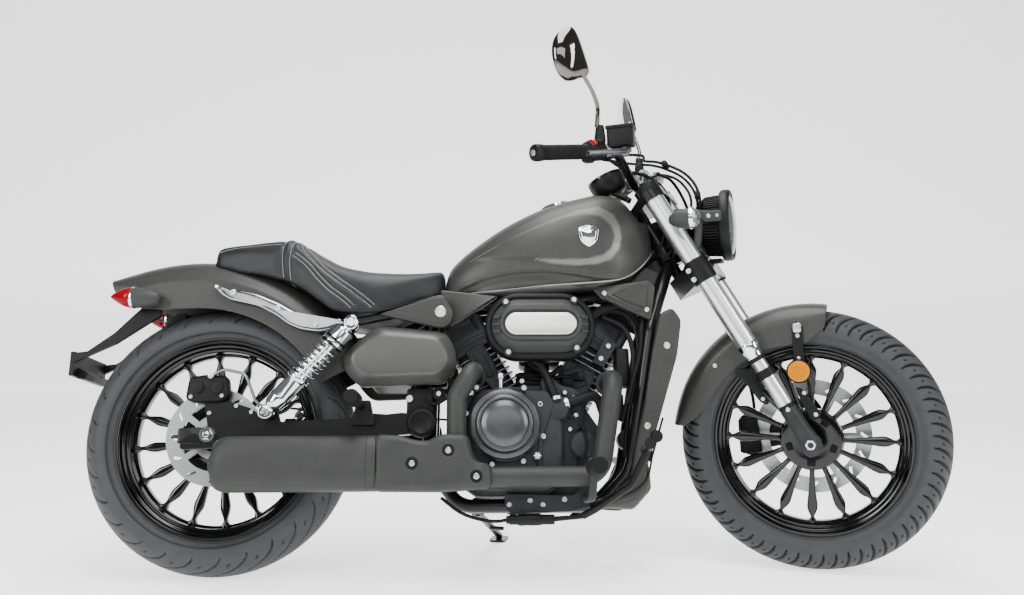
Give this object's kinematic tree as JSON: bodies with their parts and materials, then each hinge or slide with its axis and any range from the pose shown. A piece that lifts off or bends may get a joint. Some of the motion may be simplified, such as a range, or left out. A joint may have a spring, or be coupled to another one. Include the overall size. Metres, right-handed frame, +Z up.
{
  "type": "cruiser motorcycle",
  "caption": "Cruiser motorcycle with a V-twin engine, cast multi-spoke wheels, stepped seat and teardrop tank, leaning on its side stand with the bars turned.",
  "frame": {"origin": "centre of the bounding box's base, on the floor under the leaning motorcycle", "axes": "+X forwards along the wheelbase, +Y to the rider's left, the side the motorcycle leans to, +Z up"},
  "size_m": [2.0226, 0.8744, 1.2679],
  "materials": {
    "frame_black": "gloss black",
    "satin_grey": "satin grey",
    "radiator_black": "matt black",
    "engine_grey": "matt dark grey",
    "moulded_grey": "satin",
    "brushed_plate": "brushed",
    "hose_rubber": "satin",
    "exhaust_grey": "matt heat-proof coating",
    "body_paint": "matt olive grey",
    "chrome": "polished",
    "seat_leather": "grained",
    "moulded_black": "satin",
    "belt_rubber": "matt",
    "red_lens": "clear red",
    "peg_steel": "satin",
    "wheel_black": "gloss black",
    "tyre": "matt",
    "disc_steel": "ground",
    "grip_rubber": "matt",
    "clear_lens": "clear",
    "amber_lens": "prismatic amber"
  },
  "bodies": {
    "chassis": {"frame": "frame_black", "frame_side_panels": "satin_grey", "radiator": "radiator_black", "radiator_shrouds": "satin_grey", "engine_block": "engine_grey", "cylinder_front": "engine_grey", "cylinder_rear": "engine_grey", "clutch_cover": "engine_grey", "generator_cover": "engine_grey", "air_cleaner_cover": "moulded_grey", "air_cleaner_plate": "brushed_plate", "coolant_pump": "hose_rubber", "exhaust_header_front": "exhaust_grey", "exhaust_header_rear": "exhaust_grey", "exhaust_collector": "exhaust_grey", "muffler": "exhaust_grey", "fuel_tank": "body_paint", "seat": "seat_leather", "rear_fender": "body_paint", "fender_struts": "chrome", "side_covers": "satin_grey", "battery_box": "moulded_black", "swingarm": "frame_black", "rear_axle": "chrome", "shock_bodies": "chrome", "shock_springs": "chrome", "rear_caliper": "moulded_black", "drive_belt": "belt_rubber", "plate_bracket": "moulded_black", "rear_lamps": "moulded_grey", "rear_lenses": "red_lens", "rider_pegs": "peg_steel", "pillion_pegs": "peg_steel", "brake_pedal": "moulded_black", "shift_lever": "moulded_black"},
    "fuel_cap_lid": {"fuel_cap": "chrome"},
    "rear_wheel": {"rear_rim": "wheel_black", "rear_tyre": "tyre", "rear_disc": "disc_steel", "rear_pulley": "engine_grey"},
    "steering": {"fork_legs": "chrome", "triple_clamps": "frame_black", "handlebar": "frame_black", "grips": "grip_rubber", "hand_controls": "moulded_black", "mirrors": "chrome", "instrument": "moulded_black", "headlamp_shell": "moulded_grey", "headlamp_lens": "clear_lens", "front_indicators": "moulded_grey", "front_indicator_lenses": "clear_lens", "front_fender": "body_paint", "reflectors": "amber_lens", "front_caliper": "moulded_black", "front_axle": "chrome", "bar_cables": "hose_rubber"},
    "front_wheel": {"front_rim": "wheel_black", "front_tyre": "tyre", "front_disc": "disc_steel"},
    "side_stand_leg": {"side_stand": "frame_black"}
  },
  "joints": [
    {"name": "rear_wheel_spin", "type": "hinge", "parent": "chassis", "child": "rear_wheel", "pos_m": [-0.673, -0.08811, 0.30606], "axis": [0.0003, 0.9781, -0.2079], "continuous": true},
    {"name": "steering_turn", "type": "hinge", "parent": "chassis", "child": "steering", "pos_m": [0.67468, -0.09545, 0.27369], "axis": [-0.4892, 0.1815, 0.8531], "range_deg": [-8.4, 57.6]},
    {"name": "front_wheel_spin", "type": "hinge", "parent": "steering", "child": "front_wheel", "pos_m": [0.72225, -0.11434, 0.30499], "axis": [0.3634, 0.9316, 0.0102], "continuous": true},
    {"name": "side_stand_fold", "type": "hinge", "parent": "chassis", "child": "side_stand_leg", "pos_m": [-0.0727, -0.00042, 0.11355], "axis": [0.0419, 0.4852, 0.8734], "range_deg": [0, 101.24]},
    {"name": "fuel_cap_hinge", "type": "hinge", "parent": "chassis", "child": "fuel_cap_lid", "pos_m": [0.15928, 0.03314, 0.87785], "axis": [0.0003, 0.9781, -0.2079], "range_deg": [0, 80]}
  ]
}
